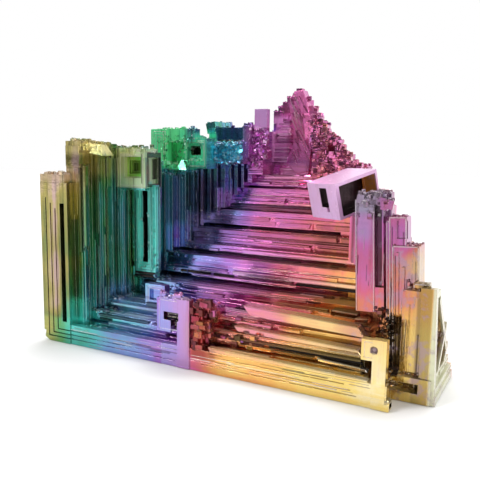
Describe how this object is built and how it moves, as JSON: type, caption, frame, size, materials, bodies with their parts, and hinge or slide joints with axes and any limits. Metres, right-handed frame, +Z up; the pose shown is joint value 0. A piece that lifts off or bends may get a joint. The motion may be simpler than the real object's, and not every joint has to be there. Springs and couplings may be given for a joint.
{
  "type": "bismuth hopper crystal",
  "caption": "Iridescent bismuth hopper crystal: a stepped hollow framed by upright plates under a tapered peak, cut flat to rest.",
  "frame": {"origin": "middle of the bounding box, on the flat base", "axes": "+Z up from the base; -Y out of the open front of the hopper; +X to the right as seen from the front"},
  "size_m": [0.075, 0.05, 0.0515],
  "materials": {
    "bismuth_oxide_film": "bright metal under a thin oxide film that runs from gold through magenta and blue to green"
  },
  "bodies": {
    "root": {"bismuth_crystal": "bismuth_oxide_film"}
  },
  "joints": []
}
